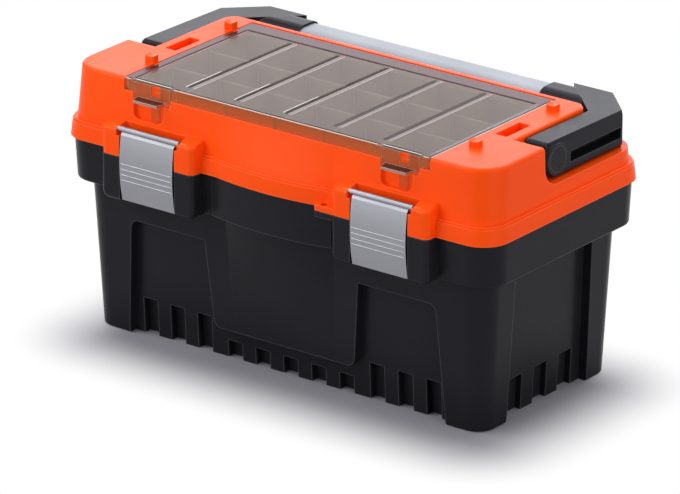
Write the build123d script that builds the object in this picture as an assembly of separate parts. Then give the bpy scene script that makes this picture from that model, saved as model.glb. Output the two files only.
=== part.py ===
from build123d import *
import math
import os

# Tool box. X runs along the front, the front faces -Y, Z is up and the tub stands on Z = 0.
# All sizes are in millimetres. The rim's length and depth and the shelf's height drive the rest.

# Tub: a body that widens upwards to a shelf, then a wider collar up to the rim.
RIM_L = 544.4
RIM_D = 265.0
RIM_R = 30.0
COLLAR_LEAN_L = 1.5
COLLAR_LEAN_D = 2.8
COLLAR_R = 29.0
COLLAR_H = 46.4
COLLAR_FILLET = 2.5
SHELF_Z = 164.0
SHELF_STEP_L = 13.7
SHELF_STEP_D = 10.7
BODY_R = 26.0
BODY_LEAN_L = 7.7
BODY_LEAN_D = 8.5
FOOT_R = 21.0
FOOT_FILLET = 3.0
TUB_WALL = 3.0
TUB_FLOOR = 3.5
TONGUE_T = 2.2
TONGUE_H = 4.0

# Front of the tub: a U-shaped recess round a raised panel, with slots that open at the ground.
RECESS_TOP_DROP = 34.0
RECESS_END = 43.8
RECESS_TAPER = 10.5
RECESS_DEPTH = 10.5
RECESS_CORNER_R = 10.0
PANEL_SIDE = 95.0
PANEL_TAPER = 10.0
PANEL_FOOT_Z = 35.0
PANEL_BOW_SIDE = 30.0
PANEL_BOW_TAPER = 5.0
PANEL_BOW_RISE = 9.0
PANEL_BOW_END = 1.5
PANEL_BOW_LIFT = 1.0
SLOT_W = 18.5
SLOT_DEPTH = 8.6
TALL_SLOT_H = 39.3
SHORT_SLOT_H = 18.6
SHORT_SLOT_PITCH = 36.0
SHORT_SLOT_COUNT = 5
TALL_SLOT_PITCH = 35.7
TALL_SLOT_SIDE = 58.5
TALL_SLOT_COUNT = 3

# Ends of the tub: one recess each, from the shelf to the ground, with slots at the foot.
END_TOP_HALF = 65.5
END_FOOT_HALF = 70.0
END_DEPTH = 10.3
END_SLOT_W = 22.5
END_SLOT_PITCH = 42.7
END_SLOT_COUNT = 3
END_SLOT_DEPTH = 7.0
END_SLOT_H = 39.3

# Middle of the front: collar and lid band bow forwards between the latches.
BOW_SIDE_GAP = 12.0
BOW_RISE = 8.5
BOW_TOP_DROP = 14.0
BOW_END = 0.2

# Lid: a band over the collar, a tier that leans in to the top, and a hollow inside.
SEAM_GAP = 0.4
BAND_PROUD_L = 2.8
BAND_PROUD_D = 3.15
BAND_R = 30.4
BAND_H = 19.4
BAND_DRAFT = 1.5
BAND_LIP_H = 2.4
BAND_LIP_IN = 1.6
TIER_STEP_L = 5.5
TIER_STEP_D = 5.45
TIER_R = 29.0
TIER_H = 57.8
TIER_LEAN_L = 2.0
TIER_LEAN_D = 4.5
TOP_R = 33.0
TOP_FILLET = 4.0
LID_WALL = 3.0

# Recess in the lid for the folded handle.
BAY_DEPTH = 42.6
ARM_BAY_LEAD = 11.9
ARM_BAY_R = 20.0
BLOCK_SIDE_GAP = 3.3
GRIP_BAY_D = 30.7
BLOCK_R = 16.0
BLOCK_EDGE_R = 2.5

# Front latches: aluminium plates that hang from a rolled bead in pads on the lid.
LATCH_END = 124.2
PAD_W = 120.0
PAD_PROUD = 16.5
PAD_RISE = 9.3
PAD_SLOPE_H = 7.5
PAD_R = 7.0
PAD_EDGE_R = 2.5
POCKET_DEPTH = 10.5
BEAD_BAY_DEPTH = 17.0
BOSS_DROP = 2.0
BOSS_R = 8.0
BOSS_EDGE_R = 5.0
CHANNEL_DEPTH = 8.5
LATCH_W = 68.6
LATCH_SIDE_GAP = 1.7
BEAD_SIDE_GAP = 0.7
LATCH_T = 2.0
BEAD_L = 78.8
BEAD_R = 3.0
BEAD_SET = 5.2
BEAD_RISE = 0.1
SHOULDER_SET = 1.3
SHOULDER_DROP = 5.4
BULGE_PROUD = 1.4
BULGE_DROP = 33.6
LATCH_FOOT_SET = 2.4
LATCH_FOOT_DROP = 0.2
RIDGE_DROP = 35.6
RIDGE_PITCH = 5.9
RIDGE_COUNT = 4
RIDGE_R = 0.8
RIDGE_SINK = 0.36
RIDGE_END = 1.5
NECK_SINK = 0.6
NECK_BACK = 0.8
NECK_FRONT = 1.4
LATCH_PIN_R = 1.1
LATCH_PIN_L = 96.0
HOOK_W = 36.0
HOOK_RISE = 14.0
HOOK_H = 3.0
CATCH_GAP = 0.4
CATCH_RISE = 2.4
CATCH_H = 4.0
CATCH_REACH = 3.4

# Padlock eye: one pair of ears, on the lid and on the collar, with a common vertical hole.
EYE_SIDE = 13.0
EYE_SET = 7.0
EYE_R = 4.0
EAR_SIDE = 9.0
EAR_SET = 0.5
EAR_T = 6.0
EAR_R = 3.0

# Rear hinges between tub and lid.
HINGE_END = 122.2
HINGE_PROUD = 9.5
HINGE_DROP = 5.4
KNUCKLE_R = 5.5
LID_KNUCKLE_L = 30.0
TUB_KNUCKLE_L = 18.0
KNUCKLE_GAP = 0.4
HINGE_PIN_R = 2.0
HINGE_WEB_RISE = 2.0
HINGE_WEB_DROP = 8.0
HINGE_STRAP_LOW = 2.0
HINGE_STRAP_TOP = 3.0
HINGE_STRAP_BACK = 4.0
HINGE_STRAP_ROOT = 1.0

# Fits.
RUN_FIT = 0.05
SLIP_FIT = 0.4
HOLD_FIT = 0.02

# Cutters open a face by CUT and run past the whole part by PAST; joined pieces sink in by SINK.
CUT = 1.0
PAST = 20.0
SINK = 0.1

# Organiser in the top of the lid: a tray of cells under a clear cover.
CELL_COLUMNS = 6
CELL_ROWS = 3
CELL_END = 1.0
TRAY_WALL = 1.6
WELL_SIDE = 41.8
WELL_LEAD = 5.2
WELL_TAIL = 16.6
TRAY_DROP = 5.0
TRAY_FLANGE_T = 1.8
FLANGE_GAP = 0.6
DIVIDER_T = 1.5
DIVIDER_H = 34.0
GUIDE_T = 1.2
GUIDE_GAP = 0.15
LUG_W = 6.0
LUG_D = 4.0
LUG_SET = 3.1
LUG_STAND = 0.4

# Clear cover, hinged at its rear corners, with two clips at the front.
COVER_LAP = 6.3
COVER_PROUD = 0.3
COVER_STRIP = 11.0
COVER_T = 2.2
COVER_DROP = 0.0
COVER_R = 2.0
COVER_WALL_T = 2.3
COVER_WALL_DROP = 12.6
COVER_GAP = 0.4
COVER_WALL_GAP = 0.3
COVER_AXIS_SET = 1.8
COVER_AXIS_DROP = 3.0
COVER_PIN_R = 1.4
COVER_PIN_L = 3.6
COVER_PIN_END = 0.6
COVER_EAR_R = 2.6
COVER_EAR_T = 2.4
TROUGH_LEAD = 3.0
TROUGH_TAIL = 4.0
TROUGH_DROP = 9.0
RIB_W = 3.2
RIB_GROOVE_W = 2.0
RIB_GROOVE = 0.9
RIB_DROP = 0.4
RIB_LEAD = 19.0
RIB_TAIL = 24.0
CLIP_SIDE = 36.5
CLIP_W = 46.4
CLIP_SIDE_GAP = 0.4
CLIP_T = 2.3
CLIP_AXIS_SET = 0.85
CLIP_AXIS_DROP = 2.3
CLIP_BARREL_R = 1.4
CLIP_PIN_R = 0.8
CLIP_PIN_L = 2.6
CLIP_PIN_END = 0.3
CLIP_PROUD = 0.15
CLIP_CHEEK_W = 4.0
CLIP_CHEEK_T = 2.9
CLIP_CHEEK_PROUD = 0.6
CLIP_CHEEK_DROP = 8.6
CLIP_WINDOW_X = 4.0
CLIP_WINDOW_W = 11.2
CLIP_WINDOW_DROP = 13.3
CLIP_LEDGE_DROP = 19.2
CLIP_LEDGE_T = 2.6
CLIP_LEDGE_HALF = 18.5
CLIP_LEDGE_TIP_HALF = 15.2
CLIP_LEDGE_REACH = 12.5
CLIP_TONGUE_W = 11.0
CLIP_TONGUE_DROP = 39.4
FINGER_LEFT = 23.5
FINGER_RIGHT = 16.5
FINGER_DROP = 40.8
FINGER_SET = 2.4
FINGER_R = 8.0
CLIP_REST_DROP = 21.4
CLIP_REST_HALF = 24.4
CLIP_REST_R = 3.0
CATCH_LUG_W = 10.0
CATCH_LUG_T = 0.5
CATCH_LUG_H = 5.0
CATCH_LUG_DROP = 1.0

# Pockets and stubs on the top of the lid; the left stubs stand nearer to the cover.
BELT_SIDE = 16.5
BELT_Y = -10.0
BELT_W = 14.5
BELT_L = 42.0
BELT_DEPTH = 16.0
LEFT_TAB_SIDE = 6.1
LEFT_TAB_Y = (-74.0, 57.0)
RIGHT_TAB_SIDE = 15.1
RIGHT_TAB_Y = (-70.5, 60.5)
TAB_W = 11.4
TAB_D = 9.0
LEFT_TAB_H = 9.0
RIGHT_TAB_H = 7.0
TAB_R = 1.0
TAB_DISH_R = 12.0
TAB_DISH = 1.4
TAB_TOE = 2.4
TAB_TOE_H = 2.2

# Handle: two arms on pivots, two sleeves and an aluminium grip bar, folded back at rest.
PIVOT_Y = -2.3
PIVOT_DROP = 22.2
ARM_R = 19.8
ARM_W = 28.2
ARM_NOSE = 16.0
ARM_NOSE_R = 5.0
ARM_END = 6.0
ARM_REAR_DROP = 4.6
ARM_REAR_PROUD = 13.85
ARM_CHAMFER = 40.8
ARM_BEVEL = 3.6
MITRE_SET = 41.1
ARM_PLATE_T = 7.0
ARM_SHELL = 3.0
ARM_SLOT_LEAD = 20.9
ARM_SLOT_TAIL = 2.5
ARM_SLOT_DROP = 9.2
ARM_SLOT_RISE = 2.2
ARM_SLOT_DEPTH = 14.0
GRIP_DROP = 17.4
SLEEVE_W = 40.0
SLEEVE_H = 27.0
SLEEVE_REACH = 106.5
SLEEVE_ROOT_SIDE = 42.9
BAR_W = 37.0
BAR_H = 21.6
BAR_WALL = 2.0
BAR_INSERT = 12.0
PIVOT_PIN_R = 4.0
PIVOT_BOSS_R = 9.0
PIVOT_BOSS_L = 9.0
PIVOT_PIN_BITE = 8.0
PIVOT_PIN_COVER = 7.5
CAP_R = 13.2
CAP_T = 3.0
CAP_RING_R = 16.0
CAP_RING_W = 1.2
CAP_RING_DEPTH = 0.8
CAP_EDGE_R = 0.6
CAP_DOT_R = 1.0
CAP_DOT_X = 2.6
CAP_DOT_RISE = 3.4
CAP_FIT = 0.1
PIN_END = 0.3
SCREW_R = 2.0
SCREW_HEAD_R = 3.6
SCREW_HEAD_H = 3.0
SCREW_BITE = 5.0
SCREW_SETS = ((63.5, 17.5), (52.5, 10.5))

# Outlines in plan that follow from the rim.
COLLAR_L = RIM_L - 2 * COLLAR_LEAN_L
COLLAR_D = RIM_D - 2 * COLLAR_LEAN_D
BODY_L = COLLAR_L - 2 * SHELF_STEP_L
BODY_D = COLLAR_D - 2 * SHELF_STEP_D
FOOT_L = BODY_L - 2 * BODY_LEAN_L
FOOT_D = BODY_D - 2 * BODY_LEAN_D
BAND_L = RIM_L + 2 * BAND_PROUD_L
BAND_D = RIM_D + 2 * BAND_PROUD_D
TIER_L = BAND_L - 2 * TIER_STEP_L
TIER_D = BAND_D - 2 * TIER_STEP_D
TOP_L = TIER_L - 2 * TIER_LEAN_L
TOP_D = TIER_D - 2 * TIER_LEAN_D

# Main heights.
RIM_Z = SHELF_Z + COLLAR_H
BAND_Z = RIM_Z + SEAM_GAP
BAND_TOP = BAND_Z + BAND_H
TOP_Z = BAND_TOP + TIER_H
RECESS_FLOOR = TOP_Z - BAY_DEPTH
WELL_FLOOR = RECESS_FLOOR
CAVITY_TOP = RECESS_FLOOR - LID_WALL
BOW_TOP = TOP_Z - BOW_TOP_DROP

# Front of the tub.
RECESS_TOP_Z = SHELF_Z - RECESS_TOP_DROP
RECESS_FOOT_HALF = FOOT_L / 2 - RECESS_END
RECESS_TOP_HALF = RECESS_FOOT_HALF - RECESS_TAPER
PANEL_TOP_HALF = RECESS_TOP_HALF - PANEL_SIDE
PANEL_FOOT_HALF = PANEL_TOP_HALF - PANEL_TAPER
PANEL_BOW_HALF = PANEL_TOP_HALF - PANEL_BOW_SIDE
PANEL_BOW_FOOT_HALF = PANEL_BOW_HALF - PANEL_BOW_TAPER
TALL_SLOT_X = RECESS_FOOT_HALF - TALL_SLOT_SIDE

# Latches, padlock eye and rear hinges.
LATCH_X = RIM_L / 2 - LATCH_END
BOW_HALF = LATCH_X - PAD_W / 2 - BOW_SIDE_GAP
PAD_FRONT = -RIM_D / 2 - PAD_PROUD
PAD_TOP = BAND_TOP + PAD_RISE
PAD_BACK_TOP = PAD_TOP + PAD_SLOPE_H
POCKET_BACK = PAD_FRONT + POCKET_DEPTH
BEAD_BAY_BACK = PAD_FRONT + BEAD_BAY_DEPTH
CHANNEL_BACK = PAD_FRONT + CHANNEL_DEPTH
CHANNEL_HALF = LATCH_W / 2 + LATCH_SIDE_GAP
BEAD_BAY_HALF = BEAD_L / 2 + BEAD_SIDE_GAP
BEAD_Y = PAD_FRONT + BEAD_SET
BEAD_Z = PAD_TOP + BEAD_RISE
BOSS_FOOT_Z = SHELF_Z - BOSS_DROP
LATCH_SHOULDER = (PAD_FRONT + SHOULDER_SET, BEAD_Z - SHOULDER_DROP)
LATCH_BULGE = (PAD_FRONT - BULGE_PROUD, BEAD_Z - BULGE_DROP)
LATCH_FOOT = (PAD_FRONT + LATCH_FOOT_SET, SHELF_Z - LATCH_FOOT_DROP)
RIDGE_Z = BEAD_Z - RIDGE_DROP
HOOK_Z = SHELF_Z + HOOK_RISE
EYE_X = LATCH_X - PAD_W / 2 - EYE_SIDE
EYE_Y = PAD_FRONT + EYE_SET
EAR_IN = EYE_X - EAR_SIDE
EAR_FRONT = PAD_FRONT + EAR_SET
HINGE_X = RIM_L / 2 - HINGE_END
HINGE_Y = RIM_D / 2 + HINGE_PROUD
HINGE_Z = RIM_Z - HINGE_DROP

# Handle and the block between its arms.
ARM_OUT = TOP_L / 2 - ARM_END
ARM_IN = ARM_OUT - ARM_W
ARM_REAR = BAND_D / 2 + ARM_REAR_PROUD
ARM_BAY_FRONT = PIVOT_Y - ARM_R - ARM_BAY_LEAD
PIVOT_Z = TOP_Z - PIVOT_DROP
ARM_FLOOR = PIVOT_Z - ARM_R
ARM_TOP_REAR = TOP_Z - ARM_REAR_DROP
ARM_PLATE_Z = ARM_TOP_REAR - ARM_PLATE_T
ARM_SLOT_FRONT = PIVOT_Y + ARM_SLOT_LEAD
ARM_SLOT_REAR = ARM_REAR - ARM_CHAMFER - ARM_SLOT_TAIL
ARM_SLOT_LOW = PIVOT_Z - ARM_SLOT_DROP
ARM_SLOT_HIGH = PIVOT_Z + ARM_SLOT_RISE
GRIP_Y = ARM_REAR - SLEEVE_W / 2
GRIP_Z = TOP_Z - GRIP_DROP
SEAM_SUM = ARM_IN + GRIP_Y - MITRE_SET
SLEEVE_IN = ARM_OUT - SLEEVE_REACH
SLEEVE_ROOT_OUT = ARM_OUT - SLEEVE_ROOT_SIDE
SLEEVE_LOW = GRIP_Z - SLEEVE_H / 2
SCREW_SPOTS = [(ARM_OUT - side, ARM_REAR - rear) for side, rear in SCREW_SETS]
BLOCK_HALF = ARM_IN - BLOCK_SIDE_GAP
BLOCK_REAR = TOP_D / 2 - GRIP_BAY_D
PIVOT_PIN_IN = BLOCK_HALF - PIVOT_PIN_BITE
PIVOT_PIN_OUT = ARM_OUT - PIVOT_PIN_COVER

# Cover, tray and clips.
COVER_FRONT = -TOP_D / 2 - COVER_PROUD
COVER_REAR = BLOCK_REAR - COVER_STRIP
WELL_HALF = BLOCK_HALF - WELL_SIDE
WELL_FRONT = COVER_FRONT + WELL_LEAD
WELL_REAR = COVER_REAR - WELL_TAIL
COVER_HALF = WELL_HALF + COVER_LAP
CELL_PITCH_X = 2 * (WELL_HALF - CELL_END) / CELL_COLUMNS
COVER_TOP = TOP_Z - COVER_DROP
COVER_UNDER = COVER_TOP - COVER_T
COVER_SEAT = COVER_UNDER - COVER_GAP
COVER_WALL_BACK = COVER_FRONT + COVER_WALL_T
COVER_WALL_FOOT = TOP_Z - COVER_WALL_DROP
COVER_AXIS_Y = COVER_REAR - COVER_AXIS_SET
COVER_AXIS_Z = TOP_Z - COVER_AXIS_DROP
TROUGH_FRONT = COVER_AXIS_Y - TROUGH_LEAD
TROUGH_REAR = COVER_AXIS_Y + TROUGH_TAIL
TROUGH_FLOOR = TOP_Z - TROUGH_DROP
RABBET_WALL = COVER_WALL_BACK + COVER_WALL_GAP
TRAY_TOP = TOP_Z - TRAY_DROP
DECK_Z = TRAY_TOP - TRAY_FLANGE_T - COVER_GAP
TRAY_HALF = WELL_HALF - SLIP_FIT
TRAY_FRONT = WELL_FRONT + SLIP_FIT
TRAY_REAR = WELL_REAR - SLIP_FIT
TRAY_FLOOR_Z = WELL_FLOOR + SLIP_FIT
TRAY_FLANGE_REAR = TROUGH_FRONT - FLANGE_GAP
LUG_Y = WELL_REAR + LUG_SET
ROW_PITCH = (TRAY_REAR - TRAY_FRONT - TRAY_WALL) / CELL_ROWS
RIB_FRONT = COVER_FRONT + RIB_LEAD
RIB_REAR = COVER_REAR - RIB_TAIL
CLIP_X = COVER_HALF - CLIP_SIDE
CLIP_BAY_HALF = CLIP_W / 2 + CLIP_SIDE_GAP
CLIP_AXIS_Y = COVER_FRONT + CLIP_AXIS_SET
CLIP_AXIS_Z = TOP_Z - CLIP_AXIS_DROP
CLIP_CHEEK_FOOT = TOP_Z - CLIP_CHEEK_DROP
CLIP_WINDOW_FOOT = TOP_Z - CLIP_WINDOW_DROP
CLIP_LEDGE_Z = TOP_Z - CLIP_LEDGE_DROP
CLIP_LEDGE_TIP = COVER_FRONT - CLIP_LEDGE_REACH
CLIP_TONGUE_FOOT = TOP_Z - CLIP_TONGUE_DROP
FINGER_FOOT = TOP_Z - FINGER_DROP
FINGER_BACK = COVER_FRONT + FINGER_SET
CLIP_REST_FOOT = TOP_Z - CLIP_REST_DROP

# Pockets and stubs.
BELT_X = COVER_HALF + BELT_SIDE
LEFT_TABS = [(-COVER_HALF - LEFT_TAB_SIDE, y, LEFT_TAB_H) for y in LEFT_TAB_Y]
RIGHT_TABS = [(COVER_HALF + RIGHT_TAB_SIDE, y, RIGHT_TAB_H) for y in RIGHT_TAB_Y]


def block(x0, x1, y0, y1, z0, z1):
    """Box between two corners."""
    return Pos((x0 + x1) / 2, (y0 + y1) / 2, (z0 + z1) / 2) * Box(x1 - x0, y1 - y0, z1 - z0)


def rod_x(x0, x1, y, z, radius):
    """Round rod along X."""
    return Pos((x0 + x1) / 2, y, z) * Rot(0, 90, 0) * Cylinder(radius, x1 - x0)


def rod_z(x, y, z0, z1, radius):
    """Round rod along Z."""
    return Pos(x, y, (z0 + z1) / 2) * Cylinder(radius, z1 - z0)


def outline(points):
    """Closed flat polygon."""
    return make_face(Polyline(*points, close=True))


def side_prism(points, x0, x1):
    """Solid with a (y, z) outline between two x positions."""
    return extrude(Plane.YZ.offset(x0) * outline(points), x1 - x0)


def plan_prism(points, z0, z1):
    """Solid with an (x, y) outline between two heights."""
    return extrude(Pos(0, 0, z0) * outline(points), z1 - z0)


def rounded(length, depth, radius, z):
    """Rounded rectangle in plan at height z."""
    return Pos(0, 0, z) * RectangleRounded(length, depth, radius)


def tapered(low, high):
    """Straight-walled solid between two plan outlines."""
    return loft([low, high], ruled=True)


def mirrored(shape):
    """Copy on the other side of the middle plane."""
    return mirror(shape, about=Plane.YZ)


def both_sides(shape):
    """A shape and its mirror image together."""
    return shape + mirrored(shape)


def bow_section(half, front, rise, z):
    """Plan segment that swells forwards from a straight front over a half length."""
    arc = ThreePointArc((-half, front), (0, front - rise), (half, front))
    back = front + TUB_WALL
    rest = Polyline((half, front), (half, back), (-half, back), (-half, front))
    return Pos(0, 0, z) * make_face(arc + rest)


def bow(front, z0, z1):
    """Upright swelling of a straight front between two heights."""
    return extrude(bow_section(BOW_HALF, front, BOW_RISE, z0), z1 - z0)


def tier_front(z):
    """Y of the lid tier's leaning front wall at height z."""
    low = BAND_TOP - LID_WALL
    share = (z - low) / (TOP_Z - low)
    return -(TIER_D + (TOP_D - TIER_D) * share) / 2


def tier_bow():
    """Swelling of the lid tier that dies out below the cover."""
    low = BAND_TOP - LID_WALL
    foot = bow_section(BOW_HALF, tier_front(low), BOW_RISE, low)
    head = bow_section(BOW_HALF, tier_front(BOW_TOP), BOW_END, BOW_TOP)
    return tapered(foot, head)


def body_front(z):
    """Y of the tub body's leaning front wall at height z."""
    return -(FOOT_D + (BODY_D - FOOT_D) * z / SHELF_Z) / 2


def panel_bow():
    """Swelling of the raised front panel, strongest where it runs into the collar."""
    low = PANEL_FOOT_Z + PANEL_BOW_LIFT
    high = SHELF_Z + COLLAR_FILLET
    foot = bow_section(PANEL_BOW_FOOT_HALF, body_front(low), PANEL_BOW_END, low)
    head = bow_section(PANEL_BOW_HALF, body_front(high), PANEL_BOW_RISE, high)
    return tapered(foot, head)


def front_plane():
    """Plane on the leaning front wall of the tub body, local y up the wall."""
    lean = math.atan2((BODY_D - FOOT_D) / 2, SHELF_Z)
    return Plane((0, -FOOT_D / 2, 0), x_dir=(1, 0, 0), z_dir=(0, -math.cos(lean), -math.sin(lean)))


def end_plane(side):
    """Plane on a leaning end wall of the tub body; side is 1 for the right end and -1 for the left."""
    lean = math.atan2((BODY_L - FOOT_L) / 2, SHELF_Z)
    z_dir = (side * math.cos(lean), 0, -math.sin(lean))
    return Plane((side * FOOT_L / 2, 0, 0), x_dir=(0, side, 0), z_dir=z_dir)


def sunk(plane, sketch, depth):
    """Cutter that starts just outside a wall and goes in by depth."""
    return extrude(plane.offset(CUT) * sketch, -(depth + CUT))


def front_recess(grow):
    """Cutter for the U-shaped recess and its slots; grow thickens it for the wall behind."""
    top = RECESS_TOP_Z + grow
    field = outline([
        (-RECESS_FOOT_HALF - grow, -PAST), (RECESS_FOOT_HALF + grow, -PAST),
        (RECESS_TOP_HALF + grow, top), (-RECESS_TOP_HALF - grow, top),
    ])
    field = fillet(field.vertices().group_by(Axis.Y)[-1], RECESS_CORNER_R + grow)
    panel = outline([
        (-PANEL_FOOT_HALF + grow, PANEL_FOOT_Z + grow), (PANEL_FOOT_HALF - grow, PANEL_FOOT_Z + grow),
        (PANEL_TOP_HALF - grow, top + PAST), (-PANEL_TOP_HALF + grow, top + PAST),
    ])
    panel = fillet(panel.vertices().group_by(Axis.Y)[0], RECESS_CORNER_R)
    cutter = sunk(front_plane(), field - panel, RECESS_DEPTH + grow)
    for x, height in slot_places():
        slot = Pos(x, (height + grow - PAST) / 2) * Rectangle(SLOT_W + 2 * grow, height + grow + PAST)
        cutter += sunk(front_plane(), slot, RECESS_DEPTH + SLOT_DEPTH + grow)
    return cutter


def slot_places():
    """Centre and height of each slot along the front."""
    places = []
    for i in range(SHORT_SLOT_COUNT):
        places.append(((i - (SHORT_SLOT_COUNT - 1) / 2) * SHORT_SLOT_PITCH, SHORT_SLOT_H))
    for side in (-1, 1):
        for i in range(TALL_SLOT_COUNT):
            offset = (i - (TALL_SLOT_COUNT - 1) / 2) * TALL_SLOT_PITCH
            places.append((side * TALL_SLOT_X + offset, TALL_SLOT_H))
    return places


def end_recess(side, grow):
    """Cutter for the recess and slots of one end."""
    top = SHELF_Z + grow
    field = outline([
        (-END_FOOT_HALF - grow, -PAST), (END_FOOT_HALF + grow, -PAST),
        (END_TOP_HALF + grow, top), (-END_TOP_HALF - grow, top),
    ])
    cutter = sunk(end_plane(side), field, END_DEPTH + grow)
    for i in range(END_SLOT_COUNT):
        offset = (i - (END_SLOT_COUNT - 1) / 2) * END_SLOT_PITCH
        slot = Rectangle(END_SLOT_W + 2 * grow, END_SLOT_H + grow + PAST)
        slot = Pos(offset, (END_SLOT_H + grow - PAST) / 2) * slot
        cutter += sunk(end_plane(side), slot, END_DEPTH + END_SLOT_DEPTH + grow)
    return cutter & block(-BAND_L, BAND_L, -BAND_D, BAND_D, -PAST, SHELF_Z + grow)


def tub_boss():
    """Boss on the collar below the right latch pad, with the channel for the plate."""
    half = PAD_W / 2
    face = Rectangle(PAD_W, RIM_Z - BOSS_FOOT_Z)
    face = fillet(face.vertices().group_by(Axis.Y)[0], BOSS_R)
    face = Pos(LATCH_X, (RIM_Z + BOSS_FOOT_Z) / 2) * face
    back = -COLLAR_D / 2 + TUB_WALL
    boss = extrude(Plane.XZ.offset(-back) * face, back - PAD_FRONT)
    sides = boss.edges().filter_by(Axis.Z).group_by(Axis.Y)[0]
    boss = fillet(sides, BOSS_EDGE_R)
    left, right = LATCH_X - CHANNEL_HALF, LATCH_X + CHANNEL_HALF
    boss -= block(left, right, PAD_FRONT - CUT, CHANNEL_BACK, 0, RIM_Z + CUT)
    for side in (-1, 1):
        near = LATCH_X + side * (CHANNEL_HALF + TUB_WALL)
        far = LATCH_X + side * (half - TUB_WALL)
        low, high = min(near, far), max(near, far)
        boss -= block(low, high, PAD_FRONT + BOSS_EDGE_R, back + CUT,
                      BOSS_FOOT_Z + BOSS_R, RIM_Z - TUB_WALL)
    catch_z = HOOK_Z + HOOK_H + CATCH_RISE
    boss += block(LATCH_X - HOOK_W / 2, LATCH_X + HOOK_W / 2,
                  CHANNEL_BACK - CATCH_REACH, CHANNEL_BACK + CUT, catch_z, catch_z + CATCH_H)
    return boss


def ear(z0, z1):
    """Padlock ear beside the right latch pad, with its hole."""
    side = LATCH_X - PAD_W / 2 + PAD_R
    plate = block(EAR_IN, side, EAR_FRONT, -COLLAR_D / 2 + TUB_WALL, z0, z1)
    corner = plate.edges().filter_by(Axis.Z).group_by(Axis.X)[0].group_by(Axis.Y)[0]
    plate = fillet(corner, EAR_R)
    return plate


def eye_hole():
    """Hole through both padlock ears."""
    return rod_z(EYE_X, EYE_Y, RIM_Z - EAR_T - CUT, BAND_Z + EAR_T + CUT, EYE_R)


def hinge_pieces(side):
    """Tub knuckles, lid knuckle and pin of one rear hinge."""
    mid = side * HINGE_X
    half = LID_KNUCKLE_L / 2
    root = RIM_D / 2 - TUB_WALL
    tub = None
    for end in (-1, 1):
        near = mid + end * (half + KNUCKLE_GAP)
        far = near + end * TUB_KNUCKLE_L
        x0, x1 = min(near, far), max(near, far)
        web = side_prism([
            (root, HINGE_Z - KNUCKLE_R - HINGE_WEB_DROP), (root, HINGE_Z + HINGE_WEB_RISE),
            (HINGE_Y, HINGE_Z + HINGE_WEB_RISE), (HINGE_Y, HINGE_Z - KNUCKLE_R),
        ], x0, x1)
        one = web + rod_x(x0, x1, HINGE_Y, HINGE_Z, KNUCKLE_R)
        tub = one if tub is None else tub + one
    x0, x1 = mid - half, mid + half
    face = BAND_D / 2 - BAND_DRAFT - HINGE_STRAP_ROOT
    back = HINGE_Y + KNUCKLE_R
    lid = side_prism([
        (face, BAND_Z + HINGE_STRAP_LOW), (face, BAND_TOP - HINGE_STRAP_TOP),
        (back, HINGE_Z + HINGE_STRAP_BACK), (back, HINGE_Z),
        (HINGE_Y - HINGE_STRAP_LOW, HINGE_Z + HINGE_STRAP_LOW),
    ], x0, x1) + rod_x(x0, x1, HINGE_Y, HINGE_Z, KNUCKLE_R)
    reach = half + KNUCKLE_GAP + TUB_KNUCKLE_L
    tub -= rod_x(mid - reach - CUT, mid + reach + CUT, HINGE_Y, HINGE_Z, HINGE_PIN_R + HOLD_FIT)
    lid -= rod_x(x0 - CUT, x1 + CUT, HINGE_Y, HINGE_Z, HINGE_PIN_R + RUN_FIT)
    pin = rod_x(mid - reach, mid + reach, HINGE_Y, HINGE_Z, HINGE_PIN_R)
    return tub, lid, pin


def tub():
    """Tub with collar, recesses, bosses, padlock ear, hinge knuckles and locating tongue."""
    body = tapered(rounded(FOOT_L, FOOT_D, FOOT_R, 0), rounded(BODY_L, BODY_D, BODY_R, SHELF_Z))
    body = fillet(body.faces().sort_by(Axis.Z)[0].edges(), FOOT_FILLET)
    collar = tapered(rounded(COLLAR_L, COLLAR_D, COLLAR_R, SHELF_Z),
                     rounded(RIM_L, RIM_D, RIM_R, RIM_Z))
    collar = fillet(collar.faces().sort_by(Axis.Z)[0].edges(), COLLAR_FILLET)
    w = 2 * TUB_WALL
    t = 2 * (TUB_WALL - TONGUE_T)
    shell = body + collar + bow(-RIM_D / 2, SHELF_Z + COLLAR_FILLET, RIM_Z) + both_sides(tub_boss())
    shell += panel_bow()
    shell += ear(RIM_Z - EAR_T, RIM_Z)
    shell += extrude(rounded(RIM_L - t, RIM_D - t, RIM_R - t / 2, RIM_Z), TONGUE_H)
    shell -= front_recess(0)
    hollow = tapered(rounded(FOOT_L - w, FOOT_D - w, FOOT_R - TUB_WALL, TUB_FLOOR),
                     rounded(BODY_L - w, BODY_D - w, BODY_R - TUB_WALL, SHELF_Z + TUB_WALL))
    hollow += tapered(rounded(COLLAR_L - w, COLLAR_D - w, COLLAR_R - TUB_WALL, SHELF_Z + TUB_WALL),
                      rounded(RIM_L - w, RIM_D - w, RIM_R - TUB_WALL, RIM_Z))
    hollow += extrude(rounded(RIM_L - w, RIM_D - w, RIM_R - TUB_WALL, RIM_Z), TONGUE_H + CUT)
    hollow -= front_recess(TUB_WALL)
    for side in (-1, 1):
        shell -= end_recess(side, 0)
        hollow -= end_recess(side, TUB_WALL)
        shell += hinge_pieces(side)[0]
    return shell - hollow - eye_hole()


def pad():
    """Right latch pad on the lid, with its pocket for the plate and bead."""
    back = -TIER_D / 2 + 2 * LID_WALL
    x0, x1 = LATCH_X - PAD_W / 2, LATCH_X + PAD_W / 2
    shape = side_prism([
        (back, BAND_Z), (PAD_FRONT, BAND_Z), (PAD_FRONT, PAD_TOP), (back, PAD_BACK_TOP),
    ], x0, x1)
    shape = fillet(shape.edges().filter_by(Axis.Z).group_by(Axis.Y)[0], PAD_R)
    top = shape.faces().sort_by(Axis.Z)[-1]
    front_edges = [e for e in top.edges() if e.center().Y < back - CUT]
    return fillet(front_edges, PAD_EDGE_R)


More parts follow.
